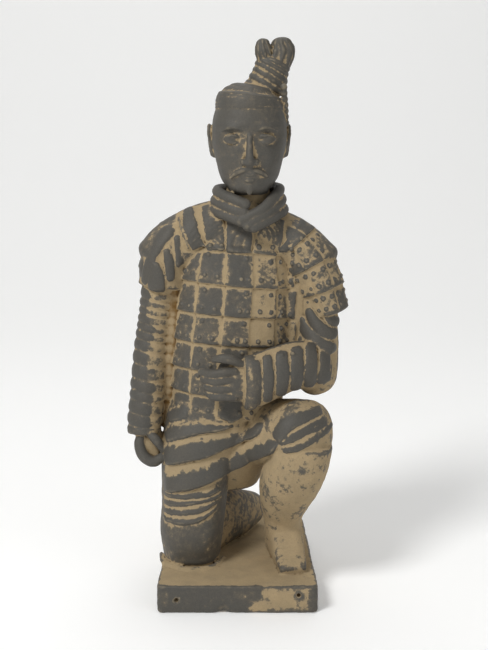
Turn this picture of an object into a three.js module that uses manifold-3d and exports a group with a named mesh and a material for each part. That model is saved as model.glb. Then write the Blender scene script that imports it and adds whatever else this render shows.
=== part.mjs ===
// Kneeling terracotta warrior: a souvenir copy pressed in a mould and fired in one piece with its plinth.
// Millimetres, +Z up, the figure faces -Y and +X is on its left. The origin is under the middle of the plinth.

import * as THREE from "three";
import { mergeVertices } from "three/addons/utils/BufferGeometryUtils.js";
import ManifoldModule from "manifold-3d";

// ---------------------------------------------------------------- driving sizes

const PLINTH = {
  frontWidth: 114,
  backWidth: 106,
  length: 156,
  height: 20,
  frontCorner: 4,
  backCorner: 16,
  edge: 1.5,
};

// A body part is a list of stations [x, y, z, half width, half depth] along its middle line.
const TORSO = [
  [-9.0, 5, 128, 40, 35],
  [-7.2, 5, 153, 42, 36],
  [-5.5, 6, 178, 42.5, 35],
  [-3.6, 7, 203, 42, 33],
  [-1.5, 8, 228, 41, 31],
  [1.5, 9, 253, 37, 27],
  [4.5, 9, 278, 25, 20],
];
// Plates: borders are the row edges, from below; seams are the column edges, in radians from the front.
const ARMOUR = {
  borders: [128, 145, 162, 181, 202, 224, 249, 278],
  seams: [0.185, 0.675, 1.2, 1.7, 2.2, 2.68, Math.PI],
  lap: 1.8,
  columnStep: 1.2,
};
const PLATE_EDGE = { alongSplit: 0.003, aroundSplit: 0.012 };

const YOKE = [
  [-57, 4, 238, 20, 19],
  [-44, 6, 250, 21, 21],
  [-22, 8, 261, 21, 23],
  [6, 9, 265, 20, 24],
  [30, 9, 256, 20, 23],
  [44, 8, 248, 20, 21],
  [58, 4, 235, 20, 19],
];
const RIGHT_SHOULDER = [
  [-53.5, 3, 221, 18, 20],
  [-52, 4, 236, 18.5, 21],
  [-46, 6, 252, 17, 20],
  [-36, 8, 263, 13, 18],
];
const LEFT_SHOULDER = [
  [66.5, 2, 203, 13.5, 20],
  [62, 3, 218, 15.5, 21.5],
  [54, 5, 236, 17.5, 22.5],
  [43, 7, 252, 16, 20.5],
  [32, 8, 261, 12, 18],
];
const SHOULDER = { borders: [0, 1, 2, 3, 4], seams: [0.39, 1.18, 1.96, Math.PI], lap: 1.6, columnStep: 0.9 };

const RIGHT_SLEEVE = [
  [-69, -10, 117, 12, 12.5],
  [-67.5, -8, 133, 12.5, 13.5],
  [-65, -4, 157, 12.5, 14],
  [-63, -1, 178, 12.5, 14.5],
  [-60, 1, 196, 12.5, 15],
  [-58, 3, 212, 13, 16],
  [-55, 4, 228, 14, 17],
];
const RIGHT_WEB = [
  [-53, 0, 119, 12, 7],
  [-51, 0, 150, 13, 9],
  [-49, 1, 185, 13, 11],
  [-47, 3, 220, 14, 12],
];
const LEFT_WEB = [
  [42, 0, 150, 14, 13],
  [44, 2, 180, 14, 13],
  [43, 4, 228, 15, 14],
];
const LEFT_SLEEVE = [
  [57, -13, 158, 16, 17.5],
  [58.5, -8, 172, 15.5, 17],
  [60, -3, 190, 14, 16.5],
  [58, 2, 210, 15, 17],
  [54, 5, 232, 15, 17],
];
const FOREARM = [
  [57, -14, 163, 18, 16],
  [44, -25, 167.5, 18, 15],
  [32, -33, 166, 18.2, 14],
  [20, -38, 162, 19, 12.5],
  [10, -42, 159, 19.5, 11],
];
const FOLDS = {
  sleeveRings: 9,
  ringHeight: 1.5,
  forearmBands: 5,
  bandHeight: 1.8,
  elbowCreases: 3,
  creaseHeight: 1.2,
};
const RIGHT_CUFF = [
  [-69, -10.5, 113.5, 12.2, 12.7],
  [-69, -10, 117.5, 12.8, 13.3],
];
const RIGHT_PALM = [
  [-66, -10, 116, 9.5, 9],
  [-65, -11, 105, 10, 9.5],
  [-62, -12, 98, 8, 9],
];
const RIGHT_FINGER = {
  path: [[-70, -15, 114], [-71, -18, 103], [-66, -21, 96], [-60, -22, 94.5], [-55.5, -21, 98]],
  thick: 3.8,
};
const RIGHT_THUMB = { path: [[-63, -18, 115], [-57, -21, 110], [-53.5, -20, 103]], thick: 3.3 };
const LEFT_CUFF = [
  [5, -43, 159, 19.6, 11],
  [12, -41.5, 159, 20.2, 12.6],
];
const LEFT_PALM = [
  [6, -41, 160, 15, 9],
  [-4, -42, 160, 15, 9],
  [-11, -41, 160, 13, 8],
];
const LEFT_THUMB = { path: [[3, -46, 172], [-7, -48, 176], [-15, -46, 176.5]], thick: 3.6 };
// The upper finger's points, and how far each point moves from one finger to the next.
const LEFT_FINGERS = {
  count: 4,
  thick: 3.5,
  path: [[-3, -48.5, 168], [-15, -48, 166.5], [-25, -41, 166.5]],
  next: [[0, 0.5, -6.6], [0, 0.5, -5.6], [1.5, 0, -5.2]],
};

const KNEELING_LEG = [
  [-34, -21, 26, 21.5, 24],
  [-34, -21, 42, 23.5, 27],
  [-32.5, -18, 60, 24, 25],
  [-31, -14, 80, 25.5, 25],
  [-28, -8, 100, 29, 30],
  [-20, 0, 120, 35, 34],
  [-10, 5, 138, 37, 33],
];
const RAISED_THIGH = [
  [10, 14, 104, 27, 24],
  [22, -8, 111, 26, 24],
  [36, -26, 118, 25, 24.5],
  [47, -40, 121, 24.5, 24.5],
];
const RAISED_SHIN = [
  [34, -22, 36, 13, 13],
  [33.5, -22, 52, 14.6, 14.5],
  [34.5, -26, 66, 18.5, 17.5],
  [38, -33, 82, 22.2, 20],
  [44, -39, 100, 22.5, 21.5],
  [46, -40, 114, 23, 21],
];
const SHOE = [
  [33, 2, 32, 12.5, 13],
  [34, -12, 34.5, 13.5, 15.5],
  [36, -26, 33, 12.5, 14],
  [38.3, -42, 26.5, 11.3, 7.5],
  [40.2, -54, 22.6, 9.6, 3.6],
];
const HIPS = [
  [-7, 19, 76, 25, 36],
  [-4, 16, 100, 31, 44],
  [-4, 12, 120, 37, 42],
  [-7, 8, 138, 38.5, 33],
];
const KNEELING_SHIN = [
  [-33, -12, 38, 20, 19],
  [-20, 10, 41, 19, 22],
  [-6, 36, 36.5, 19, 18],
  [4, 60, 32, 18, 13],
];

const NECK = [
  [7, 4, 268, 17, 18],
  [8, 2, 300, 15, 17],
];
// Each collar roll: its height at the side, its height and its turn where it ends in front.
const COLLAR = { x: 8, y: 2, halfWidth: 22.5, halfDepth: 26, flare: 1.6, roll: 3.9 };
const RIGHT_ROLLS = [
  { side: 291, front: 283.5, end: 6 },
  { side: 284, front: 276.5, end: 8 },
  { side: 278, front: 270.5, end: 10 },
];
const LEFT_ROLLS = [
  { side: 292, front: 272, end: -14 },
  { side: 285, front: 269, end: -2 },
  { side: 278, front: 266, end: 8 },
];

const HEAD = [
  [8.3, -9.5, 293, 14, 19],
  [8.3, -7, 302, 20.5, 24],
  [8.4, -4, 315, 24, 27],
  [8.5, -2, 328, 26.5, 29.5],
  [8.5, 0, 341, 26, 31],
  [8.5, 2, 354, 22.5, 28.5],
];
const FACE = { middle: 8.4, chin: 289, crown: 370, front: -32 };
// Features of the face: points [sideways from the middle, back from the front, above the eye line].
const NOSE = { path: [[0, 3, 4], [0, -0.5, -8], [0, -4, -14.5]], thick: 2.8 };
const NOSTRIL = { path: [[4, 1, -16], [0, -2.5, -15.5]], thick: 2.2 };
const BROW = { path: [[3.5, 1.5, 6], [11, 3, 8.5], [18.5, 9, 6]], thick: 1.9 };
const MOUSTACHE = { path: [[0, 0.8, -20.5], [7, 2.2, -21.3], [13.5, 6.4, -22.6]], thick: 1.8 };
const LIPS = { path: [[-6, 4.5, -27], [0, 2.2, -27.5], [6, 4.5, -27]], thick: 2.2 };
const EYE = { apart: 12.15, reach: 5.5, high: 2.7, deep: 2.6, inner: 4, middle: 3.6, outer: 7, corner: 1 };
const EAR = [
  [22.5, 6, -13, 2.5, 3.5],
  [25, 7, -3, 2.6, 5.5],
  [24.6, 7, 5, 2.6, 5.5],
];
const HAIR = [
  [8.5, 12, 300, 18, 17],
  [8.5, 9, 318, 25.5, 23],
  [8.5, 6, 337, 26.4, 28],
  [8.8, 3.5, 350, 23.8, 28],
  [9.6, 3.5, 359, 21.5, 25],
  [10.4, 3.6, 364, 15.5, 19],
];
const HAIR_BAND = [
  [8.6, 1.5, 349, 24.6, 31],
  [8.8, 1.8, 354, 24.2, 30.5],
  [9.4, 2.2, 359, 22.6, 28.5],
];
const TOPKNOT = [
  [20, 8.6, 363, 15, 13],
  [23.5, 9.5, 374.5, 12.5, 11.5],
  [26, 10, 383, 12, 10.5],
];
const CORDS = { band: 3, knot: 4, height: 1.6 };
const BIG_LOBE = [
  [29.5, 10, 382, 8.5, 8.5],
  [32, 10.5, 390, 8.8, 8],
  [31.5, 10.5, 395.5, 7, 6.5],
];
const SMALL_LOBE = [
  [20.5, 8, 383, 5.5, 6],
  [18.5, 7, 390, 6, 6.5],
  [18, 7, 395, 4.6, 5],
];

const CLAY = { color: 0x6f6656, roughness: 0.93, metalness: 0 };

// ---------------------------------------------------------------- modelling helpers

const wasm = await ManifoldModule();
wasm.setup();

/** A manifold-3d solid with the same faces as a closed three.js geometry. */
function solidOf(geometry) {
  const bare = geometry.clone();
  bare.deleteAttribute("normal");
  bare.deleteAttribute("uv");
  const welded = mergeVertices(bare, 1e-3);
  return new wasm.Manifold(new wasm.Mesh({
    numProp: 3,
    vertProperties: new Float32Array(welded.attributes.position.array),
    triVerts: new Uint32Array(welded.index.array),
  }));
}

/** A sphere's grid with every vertex moved to place(spoke, ring); spokes turn from -Y towards +X. */
function skin(spokes, rings, place) {
  const geometry = new THREE.SphereGeometry(1, spokes, rings);
  const spots = geometry.attributes.position;
  for (let i = 0; i < spots.count; i += 1) {
    const ring = Math.floor(i / (spokes + 1));
    const spoke = (spokes - (i % (spokes + 1))) % spokes;
    const point = place(spoke, ring);
    spots.setXYZ(i, point.x, point.y, point.z);
  }
  return solidOf(geometry);
}

/** Smooth middle line and half sizes through a list of stations. */
function track(stations) {
  const curve = (pick) => new THREE.CatmullRomCurve3(stations.map(pick), false, "catmullrom");
  const middle = curve(([x, y, z]) => new THREE.Vector3(x, y, z));
  const halves = curve(([, , , wide, deep]) => new THREE.Vector3(wide, deep, 0));
  return { middle, halves };
}

const bend = (value, power) => Math.sign(value) * Math.abs(value) ** power;

/**
 * A closed, round-ended body along its stations. across is the direction of the half width,
 * square over 2 gives a boxier section, and relief(t, angle) moves the skin out.
 */
function limb(stations, options = {}) {
  const { across = [1, 0, 0], spokes = 16, rings = 10, relief = () => 0 } = options;
  const { cap = 4, capRings = 2, square = 2 } = options;
  const stops = options.stops ?? Array.from({ length: rings }, (_, i) => i / (rings - 1));
  const angles = options.angles ?? Array.from({ length: spokes }, (_, i) => (2 * Math.PI * i) / spokes);
  const { middle, halves } = track(stations);
  const side = new THREE.Vector3(...across);

  return skin(angles.length, stops.length - 1 + 2 * capRings, (spoke, ring) => {
    const step = ring - capRings;
    const past = Math.max(-step, step - (stops.length - 1), 0) / capRings;
    const t = stops[THREE.MathUtils.clamp(step, 0, stops.length - 1)];
    const angle = angles[spoke];
    const along = middle.getTangent(t);
    const wide = side.clone().addScaledVector(along, -side.dot(along)).normalize();
    const deep = new THREE.Vector3().crossVectors(along, wide);
    const half = halves.getPoint(t);
    const lift = relief(t, angle);
    const grow = Math.cos((past * Math.PI) / 2);
    const x = (half.x + lift) * bend(Math.sin(angle), 2 / square) * grow;
    const y = -(half.y + lift) * bend(Math.cos(angle), 2 / square) * grow;
    const push = Math.sign(step) * cap * Math.sin((past * Math.PI) / 2);
    return middle.getPoint(t).addScaledVector(wide, x).addScaledVector(deep, y).addScaledVector(along, push);
  });
}

/** A thin round ridge through points [x, y, z]. */
function ridge(points, thick, options = {}) {
  const { flat = 1, ...rest } = options;
  const stations = points.map((point) => [...point, thick, thick * flat]);
  return limb(stations, { spokes: 5, rings: 4, cap: thick, capRings: 1, ...rest });
}

const joined = (solids) => solids.reduce((all, next) => all.add(next));

/** Plates laid like tiles: each row laps the one below, each column the next one outward. */
function plates({ borders, seams, lap, columnStep }) {
  const { alongSplit, aroundSplit } = PLATE_EDGE;
  const low = borders[0];
  const tall = borders[borders.length - 1] - low;
  const stops = [];
  borders.forEach((border, i) => {
    const t = (border - low) / tall;
    if (i > 0) stops.push(t - alongSplit);
    if (i < borders.length - 1) stops.push(t + alongSplit);
  });
  const round = [...seams].reverse().map((seam) => -seam).concat(seams);
  const angles = round.slice(1).flatMap((seam, i) => [round[i] + aroundSplit, seam - aroundSplit]);
  const relief = (t, angle) => {
    const height = low + t * tall;
    const row = Math.max(borders.findIndex((border) => border > height), 1);
    const down = (borders[row] - height) / (borders[row] - borders[row - 1]);
    const turn = Math.abs(Math.atan2(Math.sin(angle), Math.cos(angle)));
    const column = seams.findIndex((seam) => seam > turn);
    const outward = column > 0 ? (turn - seams[column - 1]) / (seams[column] - seams[column - 1]) : 1;
    return lap * down + columnStep * outward;
  };
  return { stops, angles, relief };
}

// ---------------------------------------------------------------- the parts of the figure

function plinth() {
  const { frontWidth, backWidth, length, height, frontCorner, backCorner, edge } = PLINTH;
  const front = frontWidth / 2 - edge;
  const back = backWidth / 2 - edge;
  const near = -length / 2 + edge;
  const far = length / 2 - edge;
  const outline = new THREE.Shape();
  outline.moveTo(-front + frontCorner, near);
  outline.lineTo(front - frontCorner, near);
  outline.quadraticCurveTo(front, near, front, near + frontCorner);
  outline.lineTo(back, far - backCorner);
  outline.quadraticCurveTo(back, far, back - backCorner, far);
  outline.lineTo(-back + backCorner, far);
  outline.quadraticCurveTo(-back, far, -back, far - backCorner);
  outline.lineTo(-front, near + frontCorner);
  outline.quadraticCurveTo(-front, near, -front + frontCorner, near);
  const geometry = new THREE.ExtrudeGeometry(outline, {
    depth: height - 2 * edge,
    bevelThickness: edge,
    bevelSize: edge,
    bevelSegments: 2,
    curveSegments: 4,
  });
  geometry.translate(0, 0, edge);
  return solidOf(geometry);
}

function torso() {
  return joined([
    limb(TORSO, { ...plates(ARMOUR), cap: 5, square: 2.3, capRings: 1 }),
    limb(YOKE, { across: [0, 0, 1], spokes: 10, rings: 6, cap: 9, capRings: 1 }),
  ]);
}

function shoulders() {
  const scales = plates(SHOULDER);
  return joined([
    limb(RIGHT_SHOULDER, { ...scales, cap: 3, capRings: 1 }),
    limb(LEFT_SHOULDER, { ...scales, cap: 3, capRings: 1 }),
  ]);
}

/** A wave from -height / 2 in the creases to height / 2 on the folds. */
const waves = (count, height) => (t) => height * (Math.abs(Math.sin(Math.PI * count * t)) - 0.5);

function rightArm() {
  const { sleeveRings, ringHeight } = FOLDS;
  const rings = { rings: 2 * sleeveRings + 1, relief: waves(sleeveRings, ringHeight) };
  return joined([
    limb(RIGHT_SLEEVE, { ...rings, spokes: 9, cap: 2, capRings: 1 }),
    limb(RIGHT_WEB, { spokes: 8, rings: 4, capRings: 1 }),
    limb(RIGHT_CUFF, { spokes: 10, rings: 2, cap: 1, capRings: 1 }),
    limb(RIGHT_PALM, { spokes: 8, rings: 3, capRings: 1 }),
    ridge(RIGHT_FINGER.path, RIGHT_FINGER.thick, { rings: 6, spokes: 6 }),
    ridge(RIGHT_THUMB.path, RIGHT_THUMB.thick),
  ]);
}

function leftArm() {
  const { forearmBands, bandHeight, elbowCreases, creaseHeight } = FOLDS;
  const across = [0, 0, 1];
  const bands = { rings: 2 * forearmBands + 1, relief: waves(forearmBands, bandHeight) };
  return joined([
    limb(LEFT_SLEEVE, { spokes: 10, rings: 7, cap: 15, relief: waves(elbowCreases, creaseHeight) }),
    limb(LEFT_WEB, { spokes: 8, rings: 3, capRings: 1 }),
    limb(FOREARM, { ...bands, across, spokes: 9, capRings: 1 }),
    limb(LEFT_CUFF, { across, spokes: 10, rings: 2, cap: 1, capRings: 1 }),
    leftHand(across),
  ]);
}

/** The hand laid on the belly: its back, the thumb above and the fingers below one another. */
function leftHand(across) {
  const { count, thick, path, next } = LEFT_FINGERS;
  const fingers = Array.from({ length: count }, (_, finger) => ridge(
    path.map((point, i) => point.map((value, axis) => value + finger * next[i][axis])),
    thick,
    { rings: path.length },
  ));
  return joined([
    limb(LEFT_PALM, { across, spokes: 10, rings: 3, capRings: 1 }),
    ridge(LEFT_THUMB.path, LEFT_THUMB.thick, { rings: 4 }),
    ...fingers,
  ]);
}

function legs() {
  return joined([
    limb(KNEELING_LEG, { spokes: 14, rings: 7, cap: 12, square: 2.3, capRings: 1 }),
    limb(RAISED_THIGH, { spokes: 14, rings: 4, cap: 17, square: 2.4 }),
    limb(RAISED_SHIN, { spokes: 14, rings: 6, square: 2.3, capRings: 1 }),
    limb(HIPS, { spokes: 14, rings: 4, cap: 6, square: 2.3, capRings: 1 }),
    limb(KNEELING_SHIN, { spokes: 12, rings: 4, cap: 3, square: 3.2, capRings: 1 }),
    limb(SHOE, { spokes: 12, rings: 6, cap: 2, square: 3.2, capRings: 1 }),
  ]);
}

function collar() {
  const { x, y, halfWidth, halfDepth, flare, roll } = COLLAR;
  const lay = (rolls, hand, proud) => rolls.map(({ side, front, end }, i) => {
    const path = [185, 130, 80, 38, end].map((degree) => {
      const angle = THREE.MathUtils.degToRad(degree);
      const ahead = 1 - Math.sin(Math.max(angle, 0));
      return [
        x + hand * (halfWidth + flare * i) * Math.sin(angle),
        y - (halfDepth + proud) * Math.cos(angle),
        degree < 90 ? side - (side - front) * ahead : side,
      ];
    });
    return ridge(path, roll, { across: [0, 0, 1], rings: 5 });
  });
  const neck = limb(NECK, { spokes: 10, rings: 2, capRings: 1 });
  return joined([neck, ...lay(RIGHT_ROLLS, -1, 0), ...lay(LEFT_ROLLS, 1, 2)]);
}

/** A calm, even face: eyes halfway up the head, and the features set out from the eye line. */
function head() {
  const { middle, chin, crown, front } = FACE;
  const eyeLine = (chin + crown) / 2;
  const spot = ([x, y, z], hand) => [middle + hand * x, front + y, eyeLine + z];
  const feature = ({ path, thick }, hand = 1) => ridge(path.map((point) => spot(point, hand)), thick, {
    rings: path.length,
  });
  const eye = (hand) => {
    const { apart, reach, high, deep, inner, middle: ball, outer, corner } = EYE;
    return limb([
      [...spot([apart - reach, inner, 0], hand), corner, corner],
      [...spot([apart, ball, 0], hand), high, deep],
      [...spot([apart + reach, outer, 0], hand), corner, corner],
    ], { across: [0, 0, 1], spokes: 6, rings: 5, cap: corner, capRings: 1 });
  };
  const ear = (hand) => limb(
    EAR.map(([x, y, z, wide, deep]) => [middle + hand * x, y - 2, eyeLine + z, wide, deep]),
    { spokes: 8, rings: 3, cap: 2, capRings: 1 },
  );
  const pairs = [-1, 1].flatMap((hand) => [
    feature(NOSTRIL, hand),
    feature(BROW, hand),
    feature(MOUSTACHE, hand),
    eye(hand),
    ear(hand),
  ]);
  const skull = limb(HEAD, { spokes: 16, rings: 6, cap: 5, square: 2.2 });
  return joined([skull, feature(NOSE), feature(LIPS), ...pairs]);
}

function hair() {
  const { band, knot, height } = CORDS;
  return joined([
    limb(HAIR, { spokes: 12, rings: 6, cap: 3 }),
    limb(HAIR_BAND, { spokes: 14, rings: 2 * band + 1, cap: 1, capRings: 1, relief: waves(band, height) }),
    limb(TOPKNOT, { spokes: 10, rings: 2 * knot + 1, cap: 2, capRings: 1, relief: waves(knot, height) }),
    limb(BIG_LOBE, { spokes: 10, rings: 3, cap: 4.5, capRings: 1 }),
    limb(SMALL_LOBE, { spokes: 8, rings: 3, cap: 4, capRings: 1 }),
  ]);
}

// ---------------------------------------------------------------- drapery

// Folds drawn as seen from the front: points [x, z] and half the height of the fold.
const DRAPERY = [
  { path: [[-51, 115], [-36, 120], [-18, 122], [-4, 120]], half: 5.5 },
  { path: [[-52, 100], [-36, 104], [-18, 107], [-3, 112], [9, 120], [16, 131]], half: 6.5 },
  { path: [[-52, 86], [-34, 89], [-13, 92], [4, 98], [18, 108], [26, 121], [35, 134]], half: 6.5 },
  { path: [[-50, 75], [-34, 78], [-17, 81]], half: 4 },
  { path: [[-50, 65.5], [-34, 69], [-17, 73]], half: 4 },
  { path: [[20, 138], [33, 143], [50, 142]], half: 4 },
  { path: [[60, 133], [49, 129], [35, 122]], half: 3.4 },
];
const DRAPERY_SHAPE = { flat: 0.6, sunk: 0.1, longPath: 3 };

/** Low ridges laid on the front of a body, found by looking at it along +Y, and sunk a little into it. */
function drapery(body) {
  const looker = new THREE.Raycaster();
  const target = new THREE.Mesh(geometryOf(body), new THREE.MeshBasicMaterial({ side: THREE.DoubleSide }));
  const away = new THREE.Vector3(0, 1, 0);
  const { flat, sunk, longPath } = DRAPERY_SHAPE;
  return joined(DRAPERY.map(({ path, half }) => {
    const points = path.map(([x, z]) => {
      looker.set(new THREE.Vector3(x, -PLINTH.length, z), away);
      const [hit] = looker.intersectObject(target);
      return [x, (hit ? hit.point.y : 0) + sunk * half, z];
    });
    const rings = path.length + (path.length > longPath ? 1 : 0);
    return ridge(points, half, { rings, across: [0, 0, 1], flat });
  }));
}

function geometryOf(solid) {
  const mesh = solid.getMesh();
  const geometry = new THREE.BufferGeometry();
  geometry.setAttribute("position", new THREE.BufferAttribute(new Float32Array(mesh.vertProperties), 3));
  geometry.setIndex(new THREE.BufferAttribute(new Uint32Array(mesh.triVerts), 1));
  return geometry;
}

// ---------------------------------------------------------------- the statue

const limbs = legs();
const dressed = joined([limbs, drapery(limbs)]);
const figure = joined([torso(), shoulders(), rightArm(), leftArm(), dressed, collar(), head(), hair()]);
// the largest shell is the statue: air pockets shut in between its parts are left out
const [statue] = figure.add(plinth()).decompose().sort((a, b) => b.volume() - a.volume());
const geometry = geometryOf(statue);
geometry.computeVertexNormals();

const warrior = new THREE.Mesh(geometry, new THREE.MeshStandardMaterial(CLAY));
warrior.name = "kneeling_warrior";
const root = new THREE.Group();
root.add(warrior);

export default root;
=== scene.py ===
"""The kneeling terracotta warrior: a figure pressed in a mould, fired grey and rubbed with tan dust."""

import math

import bpy
import numpy as np
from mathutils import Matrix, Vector
from mathutils.kdtree import KDTree


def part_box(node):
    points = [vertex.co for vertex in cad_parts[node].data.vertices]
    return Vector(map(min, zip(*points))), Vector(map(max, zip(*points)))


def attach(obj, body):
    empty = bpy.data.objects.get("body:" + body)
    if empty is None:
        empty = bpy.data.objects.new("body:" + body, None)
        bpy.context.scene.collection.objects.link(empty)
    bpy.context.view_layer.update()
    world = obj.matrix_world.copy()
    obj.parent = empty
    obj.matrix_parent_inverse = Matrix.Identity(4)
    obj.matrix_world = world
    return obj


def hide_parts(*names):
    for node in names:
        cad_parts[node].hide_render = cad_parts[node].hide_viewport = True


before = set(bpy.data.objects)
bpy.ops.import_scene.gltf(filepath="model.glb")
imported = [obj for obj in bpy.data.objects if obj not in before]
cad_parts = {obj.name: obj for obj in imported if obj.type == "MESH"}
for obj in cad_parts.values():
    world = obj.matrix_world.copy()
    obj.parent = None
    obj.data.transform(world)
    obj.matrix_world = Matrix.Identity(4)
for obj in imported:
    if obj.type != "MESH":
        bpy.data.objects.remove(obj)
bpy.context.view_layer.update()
low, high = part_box("kneeling_warrior")
MM = (high.z - low.z) / 400

# ---------------------------------------------------------------- sizes of the figure, in millimetres

PLINTH = {
    "front": 114, "back": 106, "length": 156, "height": 20, "front_corner": 4, "back_corner": 16, "edge": 1.5,
}

# a body part is a list of stations (x, y, z, half width, half depth) along its middle line
TORSO = [
    (-9.0, 5, 128, 40, 35), (-7.2, 5, 153, 42, 36), (-5.5, 6, 178, 42.5, 35), (-3.6, 7, 203, 42, 33),
    (-1.5, 8, 228, 41, 31), (1.5, 9, 253, 37, 27), (4.5, 9, 278, 25, 20),
]
BORDERS = [128, 145, 162, 181, 202, 224, 249, 278]
SEAMS = [0.185, 0.675, 1.2, 1.7, 2.2, 2.68, math.pi]
LAP = 1.9
COLUMN_STEP = 1.2
YOKE = [
    (-57, 4, 238, 20, 19), (-44, 6, 250, 21, 21), (-22, 8, 261, 21, 23), (6, 9, 265, 20, 24),
    (30, 9, 256, 20, 23), (44, 8, 248, 20, 21), (58, 4, 235, 20, 19),
]
RIGHT_SHOULDER = [
    (-53.5, 3, 221, 18, 20), (-52, 4, 236, 18.5, 21), (-46, 6, 252, 17, 20), (-36, 8, 263, 13, 18),
]
LEFT_SHOULDER = [
    (66.5, 2, 203, 13.5, 20), (62, 3, 218, 15.5, 21.5), (54, 5, 236, 17.5, 22.5),
    (43, 7, 252, 16, 20.5), (32, 8, 261, 12, 18),
]
RIGHT_SLEEVE = [
    (-69, -10, 117, 12, 12.5), (-67.5, -8, 133, 12.5, 13.5), (-65, -4, 157, 12.5, 14),
    (-63, -1, 178, 12.5, 14.5), (-60, 1, 196, 12.5, 15), (-58, 3, 212, 13, 16), (-55, 4, 228, 14, 17),
]
RIGHT_WEB = [(-53, 0, 119, 12, 7), (-51, 0, 150, 13, 9), (-49, 1, 185, 13, 11), (-47, 3, 220, 14, 12)]
LEFT_WEB = [(42, 0, 150, 14, 13), (44, 2, 180, 14, 13), (43, 4, 228, 15, 14)]
LEFT_SLEEVE = [
    (57, -13, 158, 16, 17.5), (58.5, -8, 172, 15.5, 17), (60, -3, 190, 14, 16.5), (58, 2, 210, 15, 17),
    (54, 5, 232, 15, 17),
]
FOREARM = [
    (57, -14, 163, 18, 16), (44, -25, 167.5, 18, 15), (32, -33, 166, 18.2, 14), (20, -38, 162, 19, 12.5),
    (10, -42, 159, 19.5, 11),
]
KNEELING_LEG = [
    (-34, -21, 26, 21.5, 24), (-34, -21, 42, 23.5, 27), (-32.5, -18, 60, 24, 25), (-31, -14, 80, 25.5, 25),
    (-28, -8, 100, 29, 30), (-20, 0, 120, 35, 34), (-10, 5, 138, 37, 33),
]
RAISED_THIGH = [
    (10, 14, 104, 27, 24), (22, -8, 111, 26, 24), (36, -26, 118, 25, 24.5), (47, -40, 121, 24.5, 24.5),
]
RAISED_SHIN = [
    (34, -22, 36, 13, 13), (33.5, -22, 52, 14.6, 14.5), (34.5, -26, 66, 18.5, 17.5), (38, -33, 82, 22.2, 20),
    (44, -39, 100, 22.5, 21.5), (46, -40, 114, 23, 21),
]
SHOE = [
    (33, 2, 32, 12.5, 13), (34, -12, 34.5, 13.5, 15.5), (36, -26, 33, 12.5, 14), (38.3, -42, 26.5, 11.3, 7.5),
    (40.2, -54, 22.6, 9.6, 3.6),
]
HIPS = [(-7, 19, 76, 25, 36), (-4, 16, 100, 31, 44), (-4, 12, 120, 37, 42), (-7, 8, 138, 38.5, 33)]
KNEELING_SHIN = [(-33, -12, 38, 20, 19), (-20, 10, 41, 19, 22), (-6, 36, 36.5, 19, 18), (4, 60, 32, 18, 13)]
NECK = [(7, 4, 268, 17, 18), (8, 2, 300, 15, 17)]
COLLAR = {"x": 8, "y": 2, "half_width": 22.5, "half_depth": 26, "flare": 1.6, "roll": 3.9}
# each collar roll: height at the side, height in front, turn where it ends
RIGHT_ROLLS = [(291, 283.5, 6), (284, 276.5, 8), (278, 270.5, 10)]
LEFT_ROLLS = [(292, 272, -14), (285, 269, -2), (278, 266, 8)]
HEAD = [
    (8.3, -9.5, 293, 14, 19), (8.3, -7, 302, 20.5, 24), (8.4, -4, 315, 24, 27), (8.5, -2, 328, 26.5, 29.5),
    (8.5, 0, 341, 26, 31), (8.5, 2, 354, 22.5, 28.5),
]
FACE = {"middle": 8.4, "chin": 289, "crown": 370, "front": -32}
HAIR = [
    (8.5, 12, 300, 18, 17), (8.5, 9, 318, 25.5, 23), (8.5, 6, 337, 26.4, 28), (8.8, 3.5, 350, 23.8, 28),
    (9.6, 3.5, 359, 21.5, 25), (10.4, 3.6, 364, 15.5, 19),
]
HAIR_BAND = [(8.6, 1.5, 349, 24.6, 31), (8.8, 1.8, 354, 24.2, 30.5), (9.4, 2.2, 359, 22.6, 28.5)]
TOPKNOT = [(20, 8.6, 363, 15, 13), (23.5, 9.5, 374.5, 12.5, 11.5), (26, 10, 383, 12, 10.5)]
BIG_LOBE = [(29.5, 10, 382, 8.5, 8.5), (32, 10.5, 390, 8.8, 8), (31.5, 10.5, 395.5, 7, 6.5)]
SMALL_LOBE = [(20.5, 8, 383, 5.5, 6), (18.5, 7, 390, 6, 6.5), (18, 7, 395, 4.6, 5)]

# point spacing of the cast, grain of the joined skin, and its triangles once thinned
PITCH = 0.8
VOXEL = 0.7
TRIANGLES = 194000
# how far along a body part its direction is felt
NUDGE = 0.004
# unevenness left by the hand: height, lump size, seed
UNEVEN = [(0.28, 9, 11), (0.16, 3.1, 12)]

# ---------------------------------------------------------------- modelling helpers


def spline(stations, t):
    """Smooth values through the stations, for t from 0 to 1."""
    knots = np.asarray(stations, float)
    last = len(knots) - 2
    place = np.clip(t, 0, 1) * (last + 1)
    i = np.minimum(place.astype(int), last)
    w = (place - i)[:, None]
    ends = np.vstack([2 * knots[0] - knots[1], knots, 2 * knots[-1] - knots[-2]])
    a, b, c, d = ends[i], ends[i + 1], ends[i + 2], ends[i + 3]
    return 0.5 * (2 * b + (c - a) * w + (2 * a - 5 * b + 4 * c - d) * w**2 + (3 * b - a - 3 * c + d) * w**3)


def step(edge0, edge1, value):
    x = np.clip((value - edge0) / (edge1 - edge0), 0, 1)
    return x * x * (3 - 2 * x)


def rough(points, grain, seed):
    """Soft random values from -1 to 1, in lumps of the given size."""
    table = np.random.default_rng(seed).uniform(-1, 1, (32, 32, 32))
    place = points / grain
    cell = np.floor(place).astype(int)
    f = place - cell
    f = f * f * (3 - 2 * f)
    total = 0
    for corner in range(8):
        pick = np.array([corner & 1, corner >> 1 & 1, corner >> 2])
        near = (cell + pick) % 32
        weight = np.prod(np.where(pick, f, 1 - f), axis=-1)
        total = total + table[near[..., 0], near[..., 1], near[..., 2]] * weight
    return total


def power(value, exponent):
    return np.sign(value) * np.abs(value) ** exponent


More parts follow.
